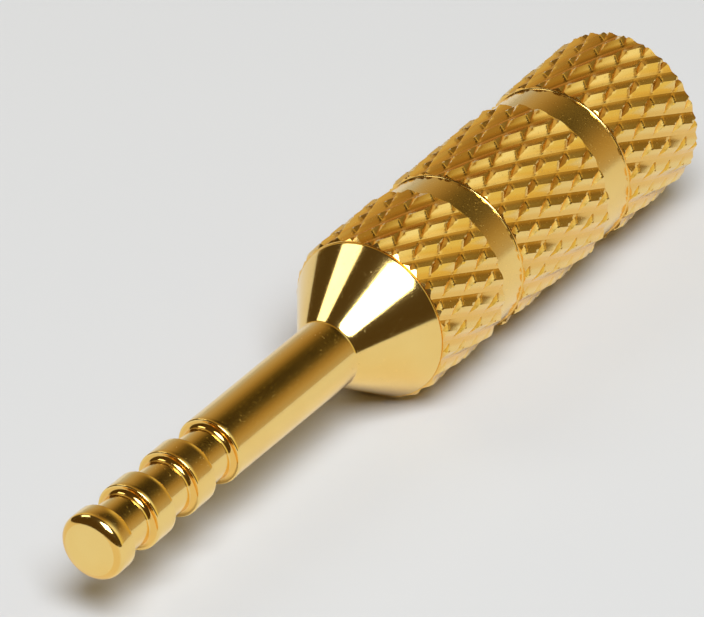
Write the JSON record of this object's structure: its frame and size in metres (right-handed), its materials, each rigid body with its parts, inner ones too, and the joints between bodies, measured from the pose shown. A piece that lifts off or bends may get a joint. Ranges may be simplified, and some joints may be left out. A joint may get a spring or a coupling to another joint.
{
  "type": "speaker pin plug",
  "caption": "Gold-plated speaker pin plug: a grooved contact pin with a cone screws into a knurled, banded grip barrel over a slit clamping collet.",
  "frame": {"origin": "centre of the barrel's flat cable end", "axes": "+Z along the plug's axis, from the cable end to the pin's tip"},
  "size_m": [0.0064, 0.0062, 0.034],
  "materials": {
    "gold_plated_barrel": "bright gold plating over knurled brass",
    "gold_plated_collet": "gold plating over turned brass",
    "gold_plated_pin": "polished gold plating over turned brass"
  },
  "bodies": {
    "barrel": {"grip_barrel": "gold_plated_barrel"},
    "collet": {"clamp_collet": "gold_plated_collet"},
    "pin": {"contact_pin": "gold_plated_pin"}
  },
  "joints": [
    {"name": "pin_turn", "type": "hinge", "parent": "barrel", "child": "collet", "pos_m": [0, 0, 0.003], "axis": [0, 0, 1], "range_deg": [0, 2880]},
    {"name": "pin_rise", "type": "slide", "parent": "collet", "child": "pin", "axis": [0, 0, 1], "range_m": [0, 0.004]}
  ],
  "couplings": [
    {"joint": "pin_turn", "follows": "pin_rise", "rad_per_m": 12566}
  ]
}
